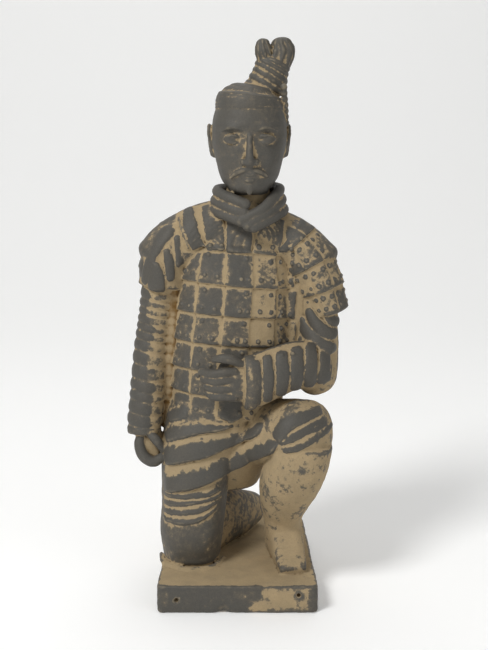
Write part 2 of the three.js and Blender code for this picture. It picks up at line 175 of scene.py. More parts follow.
class Cast:
    """Everything that is pressed into the mould: closed skins with a finish value at each point."""

    def __init__(self):
        self.points = []
        self.faces = []
        self.tones = []
        self.count = 0

    def add(self, points, faces, tone):
        self.points.append(points)
        self.faces.append(faces + self.count)
        self.tones.append(np.broadcast_to(tone, len(points)).astype(float))
        self.count += len(points)


def axes(stations, t, across):
    """The sizes at t, and the directions along, across and through the body there."""
    ahead, behind = np.minimum(t + NUDGE, 1), np.maximum(t - NUDGE, 0)
    along = spline(stations, ahead)[:, :3] - spline(stations, behind)[:, :3]
    along /= np.linalg.norm(along, axis=1)[:, None]
    side = np.array(across, float)
    wide = side - along * (along @ side)[:, None]
    wide /= np.linalg.norm(wide, axis=1)[:, None]
    return spline(stations, t), along, wide, np.cross(along, wide)


def limb(cast, stations, across=(1, 0, 0), cap=4, square=2, relief=None, marks=None, tone=0.0, pitch=PITCH):
    """A closed, round-ended body.

    relief(t, angle) moves the skin out, and marks(points, normals) carves its front.
    """
    fine = spline(stations, np.linspace(0, 1, 60))
    length = np.sum(np.linalg.norm(np.diff(fine[:, :3], axis=0), axis=1))
    rings = max(4, int(length / pitch))
    spokes = max(12, int(6.28 * fine[:, 3:].max() / pitch))
    cap_rings = max(3, int(1.5 * cap / pitch))
    past = np.concatenate([np.linspace(-1, 0, cap_rings, endpoint=False), np.zeros(rings),
                           np.linspace(0, 1, cap_rings + 1)[1:]])
    t = np.concatenate([np.zeros(cap_rings), np.linspace(0, 1, rings), np.ones(cap_rings)])
    angle = np.arange(spokes) * 2 * math.pi / spokes
    values, along, wide, deep = axes(stations, t, across)
    tt, aa = np.meshgrid(t, angle, indexing="ij")
    lift = relief(tt, aa) if relief else np.zeros_like(tt)
    grow = np.cos(past * math.pi / 2)[:, None]
    x = (values[:, 3, None] + lift) * power(np.sin(aa), 2 / square) * grow
    y = -(values[:, 4, None] + lift) * power(np.cos(aa), 2 / square) * grow
    push = cap * np.sin(past * math.pi / 2)
    points = (values[:, None, :3] + wide[:, None] * x[..., None] + deep[:, None] * y[..., None]
              + along[:, None] * push[:, None, None])
    down = np.gradient(points, axis=0)
    round_ = (np.roll(points, -1, 1) - np.roll(points, 1, 1)) / 2
    normals = np.cross(round_, down)
    normals /= np.maximum(np.linalg.norm(normals, axis=2), 1e-9)[..., None]
    shade = np.broadcast_to(tone(tt, aa) if callable(tone) else tone, tt.shape).astype(float).copy()
    if marks:
        height, colour, cover = marks(points, normals)
        points = points + normals * (height * np.abs(grow))[..., None]
        shade = shade * (1 - cover) + colour * cover
    grid = np.arange(len(t) * spokes).reshape(len(t), spokes)
    a, b = grid[:-1], grid[1:]
    quads = np.stack([a, np.roll(a, -1, 1), np.roll(b, -1, 1), b], -1).reshape(-1, 4)
    cast.add(points.reshape(-1, 3), quads, shade.reshape(-1))


def ridge(cast, path, thick, flat=1.0, taper=0.0, tone=0.0, **rest):
    """A round roll through points (x, y, z), thinner towards its ends when tapered."""
    ends = np.linspace(-1, 1, len(path))
    sizes = thick * (1 - taper * ends**2)
    stations = [(*p, s, s * flat) for p, s in zip(path, sizes)]
    limb(cast, stations, cap=thick * (1 - taper), tone=tone, pitch=min(PITCH, thick / 4), **rest)


def ball(cast, centre, radii, tone=0.0):
    x, y, z = centre
    a, b, c = radii
    stations = [(x, y, z - 0.01 * c, a, b), (x, y, z + 0.01 * c, a, b)]
    limb(cast, stations, cap=c, tone=tone, pitch=min(PITCH, min(radii) / 4))


def window(points, path, widths, fineness):
    """A smooth line drawn on the front, with its width, and which points are near enough to feel it."""
    knots = [(x, z, w) for (x, z), w in zip(path, np.broadcast_to(widths, len(path)))]
    line = spline(knots, np.linspace(0, 1, fineness * len(path)))
    x, z = points[..., 0], points[..., 2]
    reach = line[:, 2].max() + 3
    inside = ((x > line[:, 0].min() - reach) & (x < line[:, 0].max() + reach)
              & (z > line[:, 1].min() - reach) & (z < line[:, 1].max() + reach))
    return line, inside, x[inside], z[inside]


def strokes(points, path, half, crown=0.28, fade=0.12):
    """How far into a shape drawn on the front each point is: 0 outside, 1 on its crest."""
    line, inside, x, z = window(points, path, half, 12)
    depth = np.zeros(inside.shape)
    if not inside.any():
        return depth
    chosen, offset, beyond = trace(line, x, z)
    s = chosen / (len(line) - 1)
    width = line[chosen, 2]
    body = np.ones(len(s))
    if fade:
        end = step(0, fade, s) * step(0, fade, 1 - s)
        width = width * (0.35 + 0.65 * end)
        body = body * end * step(3.0, 0.6, np.abs(beyond))
    else:
        body = body * step(0.9, 0.1, np.abs(beyond))
    v = offset / width
    depth[inside] = body * np.clip(1 - v * v, 0, 1) ** crown
    return depth


def trace(line, x, z):
    """The nearest place on a drawn line, and how far each point is above it and past its end."""
    best = np.full(x.shape, 1e9)
    chosen = np.zeros(x.shape, int)
    for i in range(len(line)):
        gap = (x - line[i, 0]) ** 2 + (z - line[i, 1]) ** 2
        near = gap < best
        best[near] = gap[near]
        chosen[near] = i
    run = np.gradient(line[:, :2], axis=0)
    run /= np.linalg.norm(run, axis=1)[:, None]
    dx, dz = x - line[chosen, 0], z - line[chosen, 1]
    above = dz * run[chosen, 0] - dx * run[chosen, 1]
    beyond = dx * run[chosen, 0] + dz * run[chosen, 1]
    return chosen, above, beyond


def lapped(points, edge, reach, fade=0.1):
    """A fold that hangs to a lower edge: its height from 0 to 1, and how far up from the edge points are."""
    line, inside, x, z = window(points, edge, reach, 14)
    height = np.zeros(inside.shape)
    up = np.full(inside.shape, 9.0)
    if not inside.any():
        return height, up
    chosen, above, beyond = trace(line, x, z)
    s = chosen / (len(line) - 1)
    v = above / np.maximum(line[chosen, 2], 0.5)
    lip = np.clip(above / 1.1 + 0.25, 0, 1) ** 0.5
    rise = lip * np.clip(1 - v, 0, 1) ** 0.75 * (above > -0.3)
    rise = rise * step(0, fade, s) * step(0, fade, 1 - s) * step(4.0, 0.5, np.abs(beyond))
    height[inside] = rise
    up[inside] = np.where(rise > 0, v, 9.0)
    return height, up


def drawn(points, shapes, sunk, ground):
    """Raised shapes (path, half width, rise, finish) over a ground that is sunk a little."""
    height = np.zeros(points.shape[:2])
    colour = np.full(points.shape[:2], ground)
    for path, half, proud, dark, *more in shapes:
        depth = strokes(points, path, half, **(more[0] if more else {}))
        rise = depth * proud
        higher = rise > height
        height = np.where(higher, rise, height)
        colour = np.where(higher & (depth > 0.5), dark, colour)
    return height - sunk, colour


def facing(normals):
    """1 on what faces the front, 0 round the back."""
    return step(0.15, -0.25, normals[..., 1])


def carved(shapes, sunk, ground=-0.7, within=None):
    """Marks that draw the shapes on what faces the front, only within(points) where it is given."""
    def marks(points, normals):
        height, colour = drawn(points, shapes, sunk, ground)
        front = facing(normals)
        if within:
            front = front * within(points)
        return height * front, colour, front

    return marks


# ---------------------------------------------------------------- drapery

# folds that hang to a lower edge: edge (x, z), how far up each reaches, how proud, how much of it is dark
LAPS = [
    ([(-51, 123.7), (-45, 126.4), (-35, 130.6)], [6, 9, 9], 1.6, 0.8),
    ([(-2, 124.5), (8, 131), (16, 137), (24, 142)], [4, 7, 8, 5], 1.8, 0.1),
    ([(-53.5, 109), (-46, 112.7), (-40.2, 114.9), (-26.8, 119), (-12.7, 120.9), (-2, 123.5)],
     [6, 10, 10.5, 9.5, 5, 2], 3.2, 0.78),
    ([(-54.5, 93), (-45, 95.9), (-35.9, 98.6), (-22.5, 101.8), (-9.2, 106.9), (-0.4, 109.7), (8.6, 114.3),
      (14.8, 119.8), (18.3, 129.9)], [16, 17, 17.5, 17, 14, 12, 10, 8, 5], 3.6, 0.72),
    ([(-56, 74.2), (-48, 75.4), (-40.7, 76.9), (-27.1, 80.3), (-13.7, 85.4), (-4.8, 88.7), (4.2, 92.9),
      (13.1, 98.9), (22, 106.3), (26.4, 112), (29, 121)],
     [17, 18.5, 20, 20, 19.5, 18, 17, 16, 15, 12, 8], 3.9, 0.62),
    ([(29, 117), (34, 124), (40, 129.8), (51.9, 134.4), (62, 137)], [8, 11, 10, 8, 5], 2.6, 0.85),
    ([(33, 119.8), (43.3, 125.4), (54, 129.5), (63, 132)], [4, 4.6, 4.6, 4], 2.0, 0.7),
    ([(29, 116.4), (40.7, 121.2), (52, 125.7), (65, 129)], [3.4, 4.4, 4.6, 4], 2.0, 0.7),
    ([(31, 111.5), (43.4, 114), (54.7, 119.4), (64.2, 123.5), (70.5, 126)], [5, 6, 6, 5, 4], 2.2, 0.7),
    ([(-56.5, 71), (-39, 72), (-22.8, 72.8), (-11, 76)], [4, 5, 6, 6], 1.8, 0.6),
    ([(-57, 64.4), (-39.9, 66.9), (-25.5, 69), (-16.5, 70), (-8.5, 72.5)], [6, 5, 4, 4, 4], 1.8, 0.6),
    ([(-56.5, 59), (-36.3, 61), (-25.5, 62.2), (-12.9, 68)], [5.5, 5.5, 6, 3], 1.7, 0.6),
    ([(-56, 55), (-50, 54.4), (-36, 54.3), (-24, 57.5), (-13, 63.5)], [4.5, 5, 6, 5, 3], 1.8, 0.55),
]


def drape(points, normals):
    """The folds drawn on whatever faces the front of the skirt."""
    height = np.zeros(points.shape[:2])
    colour = np.zeros(points.shape[:2])
    cover = np.zeros(points.shape[:2])
    front = facing(normals)
    brush = 0.16 * rough(points * np.array([1, 1, 0.25]), 1.6, 21) + 0.14 * rough(points, 8, 22)
    for edge, reach, proud, dark in LAPS:
        rise, up = lapped(points, edge, reach)
        rise = rise * proud
        higher = rise > height
        height = np.where(higher, rise, height)
        colour = np.where(higher, np.where(up < dark + brush, 1.0, -0.8), colour)
        cover = np.where(higher, step(0.0, 0.25, rise / proud), cover)
    return (height - 1.1) * front, colour, cover * front


# ---------------------------------------------------------------- armour


def plate_field(t, angle, borders, seams, lap, column_step, turn=0.0):
    """Lapped plates: height, row, column, how far down its plate each point is and how far from its sides."""
    height = borders[0] + t * (borders[-1] - borders[0])
    row = np.clip(np.searchsorted(borders, height, side="right"), 1, len(borders) - 1)
    top = np.take(borders, row)
    bottom = np.take(borders, row - 1)
    down = (top - height) / (top - bottom)
    swing = np.arctan2(np.sin(angle - turn), np.cos(angle - turn))
    around = np.abs(swing)
    edges = np.array([-seams[0], *seams])
    column = np.clip(np.searchsorted(seams, around), 0, len(seams) - 1)
    inner, outer = np.take(edges, column), np.take(edges, column + 1)
    part = (around - inner) / (outer - inner)
    from_side = np.where(column == 0, 1 - part, np.minimum(part, 1 - part)) * (outer - inner)
    lift = lap * down**1.4 + column_step * np.where(column == 0, 1.0, part**1.5)
    return lift, row, column * np.where(swing < 0, -1, 1), down, from_side


def chest_turn(t):
    """The middle column wanders a little off the spine."""
    return 0.075 - 0.1 * step(0.6, 1.0, t)


def chest_plates(t, angle):
    return plate_field(t, angle, BORDERS, SEAMS, LAP, COLUMN_STEP, chest_turn(t))


def torso_relief(t, angle):
    lift, row, _, down, from_side = chest_plates(t, angle)
    # the hem row ends in rounded tongues
    tongue = (row == 1) & (down > 0.72 + 0.28 * np.sqrt(np.clip(from_side * 7, 0, 1)))
    top_row = step(0.8, 0.84, t) * step(-0.2, 0.4, np.cos(angle))
    return np.where(tongue, -1.2, lift) * (1 - top_row)


def torso_tone(t, angle):
    _, row, column, down, from_side = chest_plates(t, angle)
    chance = np.random.default_rng(5).uniform(-1, 1, (12, 40))[row, column.astype(int) + 20]
    dark = np.where(column > 0, -0.3, 0.7) + 0.45 * chance
    inner = step(0.02, 0.07, from_side) * step(0.02, 0.12, down) * step(1.0, 0.95, down)
    return -0.8 + (dark + 0.8) * inner


# the top row of plates up to the collar, and the strap on the left: path, half width, rise, finish
SQUARE = {"crown": 0.16, "fade": 0}
TOP_ROW = [
    ([(-36, 279), (-33.6, 266), (-28, 251.8)], [3.4, 5.0, 5.0], 1.9, 1.0, SQUARE),
    ([(-20, 281), (-16.8, 266), (-15.6, 250.6)], [6.2, 7.0, 6.6], 1.9, 0.5, SQUARE),
    ([(1.2, 273), (1.2, 262), (1.1, 249.3)], [9.2, 9.2, 9.0], 2.2, 0.75, SQUARE),
    ([(27, 272), (23, 259), (20.3, 247.4)], [7.0, 9.4, 9.2], 1.9, -0.15, SQUARE),
    ([(47.6, 268.5), (40.5, 259), (31.4, 247.6)], [2.6, 2.8, 2.8], 2.4, 1.0, SQUARE),
    ([(51.5, 263), (44.5, 253), (37, 243)], [2.6, 3.0, 3.0], 1.2, -0.6, SQUARE),
    ([(-43, 274), (-39.5, 263), (-34, 248.5)], [1.0, 1.2, 1.2], 2.0, -1.2),
]


def upper_chest(points):
    return step(247, 250, points[..., 2]) * step(52, 47, np.abs(points[..., 0] - 4))


# plates on the flank between the chest and the folded arm
FLANK = [
    ([(26, 234.5), (41.5, 233)], 11.4, 1.6, -0.3, SQUARE),
    ([(26, 210), (41.5, 208.6)], 10.4, 1.6, -0.2, SQUARE),
    ([(26, 187), (42, 186)], 10.4, 1.6, -0.6, SQUARE),
]


def make_torso(cast):
    marks = carved(TOP_ROW, 0.9, within=upper_chest)
    limb(cast, TORSO, cap=5, square=2.3, relief=torso_relief, tone=torso_tone, marks=marks)
    limb(cast, YOKE, across=(0, 0, 1), cap=9, tone=0.2, marks=marks)


SCALES = [0, 1, 2, 3, 4]
SCALE_SEAMS = [0.39, 1.18, 1.96, math.pi]
SCALE_LAP = 1.8
SCALE_STEP = 1.0
LEFT_TURN = 0.1


def scale_relief(turn):
    def relief(t, angle):
        return plate_field(t, angle, SCALES, SCALE_SEAMS, SCALE_LAP, SCALE_STEP, turn)[0]

    return relief


def scale_tone(turn, dark):
    def tone(t, angle):
        plates = plate_field(t, angle, SCALES, SCALE_SEAMS, SCALE_LAP, SCALE_STEP, turn)
        _, row, column, down, from_side = plates
        chance = np.random.default_rng(8).uniform(-1, 1, (8, 9))[row, column.astype(int) + 4]
        inner = step(0.03, 0.1, from_side) * step(0.04, 0.2, down)
        return -0.7 + (0.7 + dark + 0.5 * chance) * inner

    return tone


# leaf shaped plates of the right shoulder: path, half width, rise, finish
RIGHT_PAD = [
    ([(-40, 278), (-50, 272), (-60, 262.5), (-66.5, 251), (-70.5, 237), (-71.5, 225)], 2.3, 1.6, 0.9),
    ([(-43, 268.3), (-53.5, 259), (-59.4, 249.6), (-63.6, 240), (-66.5, 229), (-67.5, 222)],
     [3.2, 5.0, 4.4, 3.6, 3, 2], 2.7, 1.0),
    ([(-44.5, 262), (-41.4, 252.5), (-41, 246), (-43.6, 236)], [1.6, 4.2, 3.8, 1.6], 2.3, 1.0),
    ([(-52, 252.5), (-49.6, 244), (-48.3, 234), (-48, 226.5)], [1.8, 3.5, 3.6, 2.6], 2.1, 0.95),
    ([(-59, 243), (-57.8, 233), (-58.6, 222), (-62, 209)], [1.8, 5.0, 6.4, 5.4], 3.0, 1.0),
    ([(-68.5, 222), (-67.6, 213), (-67.4, 206)], [2.6, 3, 2.4], 1.6, 0.8),
]


def back_only(relief):
    def turned(t, angle):
        return relief(t, angle) * step(0.3, -0.3, np.cos(angle))

    return turned


def make_shoulders(cast):
    limb(cast, RIGHT_SHOULDER, cap=3, marks=carved(RIGHT_PAD, 0.9, -0.8),
         relief=back_only(scale_relief(0)), tone=scale_tone(0, 0.6))
    limb(cast, LEFT_SHOULDER, cap=3, relief=scale_relief(LEFT_TURN), tone=scale_tone(LEFT_TURN, 0.15))


# ---------------------------------------------------------------- arms

SLEEVE_RINGS = [
    228, 217, 208, 201, 194.7, 187.7, 181.8, 175.5, 168.1, 159.2, 150.2, 144.2, 139, 130.3, 118.6, 111,
]


def ring_relief(low_end, high_end, tall):
    def relief(t, angle):
        z = low_end + t * (high_end - low_end) + 0.8 * np.sin(angle * 2 + 1)
        edges = np.array(SLEEVE_RINGS[::-1])
        i = np.clip(np.searchsorted(edges, z), 1, len(edges) - 1)
        v = (z - edges[i - 1]) / (edges[i] - edges[i - 1])
        return tall * (np.clip(4 * v * (1 - v), 0, 1) ** 0.45 - 0.6)

    return relief


def right_sleeve_marks(points, normals):
    """Dark on the outer side of the rings, tan and ochre towards the body."""
    x = points[..., 0]
    colour = np.where(x < -63 + 4 * rough(points, 6, 3), 0.8, -0.6)
    return np.zeros(x.shape), colour, np.ones(x.shape)


def make_right_arm(cast):
    limb(cast, RIGHT_SLEEVE, cap=2, relief=ring_relief(117, 228, 1.9), marks=right_sleeve_marks)
    limb(cast, RIGHT_WEB, cap=4, relief=ring_relief(119, 220, 0.9), tone=-1.6)
    limb(cast, [(-69, -10.5, 113.5, 12.2, 12.7), (-69, -10, 117.5, 12.8, 13.3)], cap=1.4, tone=-0.4)
    # fist: a palm, the curled forefinger and the thumb, with a hollow between
    limb(cast, [(-66, -9, 116, 9.5, 9), (-65, -10, 105, 9.5, 9), (-62, -11, 98, 7, 8)], cap=4, tone=-0.9)
    forefinger = [(-70, -15, 116), (-72, -18, 106), (-68.5, -21, 98), (-62, -22, 94.5), (-56, -21, 97)]
    ridge(cast, forefinger, 4.2, tone=0.9, taper=0.15)
    ridge(cast, [(-64.5, -19, 115), (-59.5, -21.5, 111), (-55, -20.5, 104)], 3.6, tone=0.8, taper=0.2)
    for i in range(3):
        root = -8 + 6 * i
        finger = [(-70, root, 110), (-71.5, root, 101), (-66, -8 + 5 * i, 93.5), (-59, -9 + 4 * i, 95)]
        ridge(cast, finger, 3.7, tone=0.3)


# folds of the folded sleeve, fanning out from the elbow
FOREARM_BANDS = [
    ([(12.5, 179), (13.6, 160), (12.5, 140)], [3.4, 3.9, 3.6], 2.0, 0.9),
    ([(20.5, 182), (22, 163), (21, 143)], [3.4, 4.0, 3.4], 2.4, 0.95),
    ([(30.8, 184), (32, 166), (30.5, 147)], [4.2, 4.9, 3.8], 2.6, 0.9),
    ([(42, 186), (42.4, 168), (41, 150)], [4.2, 4.9, 4.0], 2.6, 0.95),
    ([(52.6, 187), (52.6, 169), (51, 151)], [4.0, 4.8, 4.2], 2.6, 0.9),
    ([(63, 182), (62.6, 168), (59.6, 153)], [3.8, 4.6, 4.4], 2.4, 0.9),
    ([(71.5, 173), (70.6, 163), (66, 154)], [3.2, 3.8, 3.6], 2.0, 0.8),
]
ELBOW_FOLDS = [
    ([(50, 209), (55, 199), (63, 191.5), (75, 187)], [2.4, 4.2, 4.6, 3.4], 2.6, 0.85),
    ([(44.5, 203), (49, 192), (58, 183.5), (74, 177)], [2.6, 4.0, 4.8, 3.6], 2.8, 0.9),
    ([(41.5, 194), (45.5, 184), (54, 176), (66, 171)], [2.2, 3.4, 4.0, 3.2], 2.4, 0.8),
    ([(63, 206), (68, 199), (75, 195)], [3, 3.6, 3], 2.2, 0.8),
]


def elbow_relief(t, angle):
    return 1.3 * (np.abs(np.sin(math.pi * (3.5 * t + 0.15 * np.sin(angle)))) ** 0.6 - 0.6)


def make_left_arm(cast):
    upright = (0, 0, 1)
    limb(cast, LEFT_SLEEVE, cap=15, relief=back_only(elbow_relief), tone=0.5,
         marks=carved(ELBOW_FOLDS, 0.8, -0.6))
    limb(cast, LEFT_WEB, cap=4, tone=-0.8, marks=carved(FLANK, 0.6))
    limb(cast, FOREARM, across=upright, cap=4, marks=carved(FOREARM_BANDS, 1.0, -0.8), tone=0.3)
    limb(cast, [(5, -43, 159, 19.6, 11), (9, -42.3, 159, 20.2, 12.6), (12, -41.5, 159, 19.4, 12.0)],
         across=upright, cap=1, tone=-0.2)
    # hand laid on the belly: back of the hand, four fingers and the thumb
    palm = [(6, -41, 160, 15, 9), (-4, -42, 160, 15, 9), (-11, -41, 160, 13, 8)]
    limb(cast, palm, across=upright, cap=4, tone=0.3)
    for i in range(4):
        ridge(cast, [(-2, -48.5 + 0.5 * i, 168.5 - 6.4 * i), (-9, -49.5 + 0.5 * i, 168.2 - 6 * i),
                     (-16, -48 + 0.5 * i, 166.8 - 5.6 * i), (-25.5 + 1.5 * i, -41, 166.5 - 5.2 * i)],
              3.3, tone=0.75, taper=0.15)
    ridge(cast, [(3, -46, 173), (-4, -49, 177), (-10, -49, 178), (-16, -46, 177)], 3.5, tone=0.7, taper=0.2)


# ---------------------------------------------------------------- legs


def make_legs(cast):
    limb(cast, KNEELING_LEG, cap=12, square=2.3, marks=drape, tone=0.3)
    limb(cast, RAISED_THIGH, cap=17, square=2.4, marks=drape, tone=-0.4)
    limb(cast, RAISED_SHIN, cap=4, square=2.3, marks=drape, tone=-0.55)
    limb(cast, HIPS, cap=6, square=2.3, marks=drape, tone=-0.7)
    limb(cast, KNEELING_SHIN, cap=3, square=3.2, tone=-0.2)
    limb(cast, SHOE, cap=2, square=3.2, tone=-0.75)
    # clay squeezed out round the knee
    seam = [(-57, -14, 20.5), (-53, -34, 20.5), (-36, -47, 20.5), (-18, -41, 20.5), (-11, -22, 20.5)]
    ridge(cast, seam, 2.6, flat=0.8, tone=-0.9, taper=0.4)


# ---------------------------------------------------------------- collar, head and hair


def make_collar(cast):
    limb(cast, NECK, cap=4, tone=-0.3)
    for rolls, hand, proud in ((RIGHT_ROLLS, -1, 0), (LEFT_ROLLS, 1, 2)):
        for i, (side, front, end) in enumerate(rolls):
            path = []
            for degree in (185, 150, 115, 80, 50, 25, end):
                turn = math.radians(degree)
                ahead = 1 - math.sin(max(turn, 0))
                path.append((
                    COLLAR["x"] + hand * (COLLAR["half_width"] + COLLAR["flare"] * i) * math.sin(turn),
                    COLLAR["y"] - (COLLAR["half_depth"] + proud) * math.cos(turn),
                    side - (side - front) * ahead if degree < 90 else side,
                ))
            ridge(cast, path, COLLAR["roll"], across=(0, 0, 1), tone=0.7)


def bump(x, z, cx, cz, rx, rz, height):
    return height * np.exp(-(((x - cx) / rx) ** 2 + ((z - cz) / rz) ** 2))


def face_marks(points, normals):
    """The soft forms of a calm, even face: eye sockets, brows, cheeks and chin."""
    middle, chin, crown = FACE["middle"], FACE["chin"], FACE["crown"]
    tall = crown - chin
    eye = chin + tall / 2
    x = np.abs(points[..., 0] - middle)
    z = points[..., 2]
    apart = tall * 0.148
    h = bump(x, z, apart, eye + 1.5, 8.5, 4.6, -2.6)
    h += bump(x, z, apart + 1, eye + 9.5, 11, 2.6, 1.2)
    h += bump(x, z, 14.5, eye - 13, 7, 7, 0.9)
    h += bump(x, z, 0, chin + 5.5, 7.5, 4.5, 2.0)
    h += bump(x, z, 0, chin + tall * 0.185, 10, 7.5, 1.6)
    h += bump(x, z, 9.5, chin + tall * 0.25, 2.4, 6, -0.7)
    front = facing(normals)
    return h * front, np.zeros(x.shape), np.zeros(x.shape)


def make_head(cast):
    middle, chin, crown, front = FACE["middle"], FACE["chin"], FACE["crown"], FACE["front"]
    tall = crown - chin
    eye = chin + tall / 2
    nose = chin + tall * 0.29
    mouth = chin + tall * 0.19
    apart = tall * 0.148
    limb(cast, HEAD, cap=5, square=2.2, marks=face_marks, tone=0.75)
    # nose
    limb(cast, [(middle, front + 3.4, nose - 1, 3.6, 3.4), (middle, front - 1.2, nose + 2.6, 3.4, 3.6),
                (middle, front - 0.3, nose + 8, 2.5, 3.4), (middle, front + 1.2, eye - 2, 2.1, 3.0),
                (middle, front + 3.4, eye + 5, 2.8, 2.4)], cap=1.6, tone=0.7, pitch=0.5)
    for hand in (-1, 1):
        ball(cast, (middle + hand * 4, front + 0.8, nose + 1.6), (2.5, 3.0, 2.5), 0.7)
        # brow, eyeball and the two lids
        brow = [(4.5, 2.0, 6.2), (9, 2.1, 8.2), (14, 4.3, 8.4), (19.5, 9.3, 5.8)]
        ridge(cast, [(middle + hand * x, front + y, eye + z) for x, y, z in brow], 1.5, taper=0.5, tone=0.9)
        ball(cast, (middle + hand * apart, front + 7.0, eye), (5.6, 4.6, 3.3), 0.55)
        for lift, thick in ((2.9, 0.95), (-2.5, 0.75)):
            lid = [(-6.0, 4.9, -0.2), (-2.8, 2.9, 0.82 * lift), (0.6, 2.9, lift), (3.8, 4.4, 0.72 * lift),
                   (6.6, 7.6, 0.2)]
            path = [(middle + hand * (apart + x), front + y, eye + z) for x, y, z in lid]
            ridge(cast, path, thick, taper=0.25, tone=0.85)
        # moustache, sweeping down past the corners of the mouth
        moustache = [(0.6, 0.9, 3.4), (5, 1.1, 4.4), (9.5, 3.4, 6.6), (13.4, 6.6, 9.6)]
        path = [(middle + hand * x, front + y, nose - z) for x, y, z in moustache]
        ridge(cast, path, 1.7, taper=0.45, tone=0.9)
    upper_lip = [(-6.2, 4.4, 0), (-2.4, 1.6, 1.1), (0, 1.5, 0.7), (2.4, 1.6, 1.1), (6.2, 4.4, 0)]
    lower_lip = [(-5, 4.4, -2.2), (0, 1.9, -2.9), (5, 4.4, -2.2)]
    for lip, thick, tone in ((upper_lip, 1.3, 0.6), (lower_lip, 1.6, 0.7)):
        ridge(cast, [(middle + x, front + y, mouth + z) for x, y, z in lip], thick, taper=0.3, tone=tone)
    # tuft under the lip
    limb(cast, [(middle, front + 4.0, chin + 3, 1.6, 1.6), (middle, front + 3.4, chin + 7, 2.6, 1.9),
                (middle, front + 4.2, mouth - 5.5, 1.4, 1.2)], cap=1.2, tone=0.9)
    for hand in (-1, 1):
        # ear: a rim, a hollow and the lobe
        limb(cast, [(middle + hand * 25, 3, eye - 13, 2.0, 3.2), (middle + hand * 26.8, 5, eye - 3, 2.4, 5.0),
                    (middle + hand * 26.8, 5, eye + 5, 2.4, 5.2)], cap=2, tone=0.2)
        rim = [(26.5, 0.5, -7), (29, 0.2, 2), (28.6, 3.6, 8), (29, 9.2, 5), (28.5, 8.6, -5), (26.8, 3.6, -13)]
        ridge(cast, [(middle + hand * x, y, eye + z) for x, y, z in rim], 1.3, tone=0.5)


def comb_relief(t, angle):
    """Fine strands running up over the crown."""
    return 0.45 * np.sin(angle * 46 + 6 * np.sin(3 * t)) * step(0.0, 0.1, t)


def band_relief(t, angle):
    return 1.3 * (np.abs(np.sin(math.pi * 5 * (t + 0.02 * np.sin(3 * angle)))) ** 0.6 - 0.55)


def knot_relief(t, angle):
    lean = t + 0.16 * np.sin(angle)
    return 1.6 * (np.abs(np.sin(math.pi * 4.5 * lean)) ** 0.6 - 0.5)


def lobe_relief(t, angle):
    return 0.7 * np.sin(angle * 9 + 2 * t)


def make_hair(cast):
    limb(cast, HAIR, cap=3, relief=comb_relief, tone=0.5)
    limb(cast, HAIR_BAND, cap=1.5, square=2.1, relief=band_relief, tone=0.5)
    limb(cast, TOPKNOT, cap=2, relief=knot_relief, tone=0.4)
    limb(cast, BIG_LOBE, cap=4.5, relief=lobe_relief, tone=0.5)
    limb(cast, SMALL_LOBE, cap=4, relief=lobe_relief, tone=0.6)
    # the plait that comes down behind the left temple
    for i in range(7):
        ball(cast, (32.5 + 0.35 * i, -9 + 1.4 * i, 365 - 4.2 * i), (2.6, 3.4, 2.7), 0.4)


# ---------------------------------------------------------------- plinth


def make_plinth(cast):
    """A slab with rounded corners and softened edges, a little narrower behind."""
    p = PLINTH
    front, back = p["front"] / 2, p["back"] / 2
    near, far = -p["length"] / 2, p["length"] / 2
    f, b = p["front_corner"], p["back_corner"]
    rim = []
    for cx, cy, r, start in ((front - f, near + f, f, -90), (back - b, far - b, b, 0),
                             (-back + b, far - b, b, 90), (-front + f, near + f, f, 180)):
        bend = np.radians(np.linspace(start, start + 90, 20))
        rim += [(cx + r * math.cos(a), cy + r * math.sin(a)) for a in bend]
    rim = np.array(rim + rim[:1])
    travel = np.concatenate([[0], np.cumsum(np.linalg.norm(np.diff(rim, axis=0), axis=1))])
    even = np.linspace(0, travel[-1], int(travel[-1] / 1.2), endpoint=False)
    edge = np.column_stack([np.interp(even, travel, rim[:, k]) for k in (0, 1)])
    inwards = -edge / np.linalg.norm(edge, axis=1)[:, None]
    e = p["edge"]
    bevel = [(e * (1 - math.sin(a)), e * (1 - math.cos(a))) for a in np.radians([0, 30, 60, 90])]
    sides = [(0, z) for z in np.linspace(p["edge"], p["height"] - p["edge"], 16)[1:-1]]
    layers = bevel + sides + [(inset, p["height"] - z) for inset, z in reversed(bevel)]
    rings = [np.column_stack([edge * (1 - k), np.zeros(len(edge))]) for k in (0.98, 0.6, 0.2)]
    rings += [np.column_stack([edge + inwards * inset, np.full(len(edge), z)]) for inset, z in layers]
    top = edge + inwards * p["edge"]
    lid = np.full(len(edge), p["height"])
    rings += [np.column_stack([top * (1 - k), lid]) for k in np.linspace(0, 0.98, 60)[1:]]
    points = np.array(rings)
    grid = np.arange(points.shape[0] * points.shape[1]).reshape(points.shape[:2])
    low_ring, high_ring = grid[:-1], grid[1:]
    corners = [low_ring, np.roll(low_ring, -1, 1), np.roll(high_ring, -1, 1), high_ring]
    faces = np.stack(corners, -1).reshape(-1, 4)
    middles = np.array([[0, 0, 0], [0, 0, p["height"]]])
    n = len(edge)
    first, last = np.arange(n), grid[-1]
    bottom = grid.size
    caps = [np.column_stack([np.roll(first, -1), first, np.full(n, bottom), np.full(n, bottom)]),
            np.column_stack([last, np.roll(last, -1), np.full(n, bottom + 1), np.full(n, bottom + 1)])]
    points = np.vstack([points.reshape(-1, 3), middles])
    cloud = rough(points, 14, 31)
    x, y, z = points.T
    tone = np.full(len(points), -0.55) + 0.25 * cloud
    tone = np.where((y < near + 1) & (x < 12 + 22 * cloud), 0.75, tone)
    tone = np.where((z > p["height"] - 0.2) & (y > near + 2), -0.95, tone)
    tone = np.where((np.abs(x) > 50) & (z < 18), 0.1, tone)
    cast.add(points, np.vstack([faces, *caps]), tone)


# ---------------------------------------------------------------- rivets, placed with geometry nodes

RIVET = {"radius": 1.6, "height": 1.25}


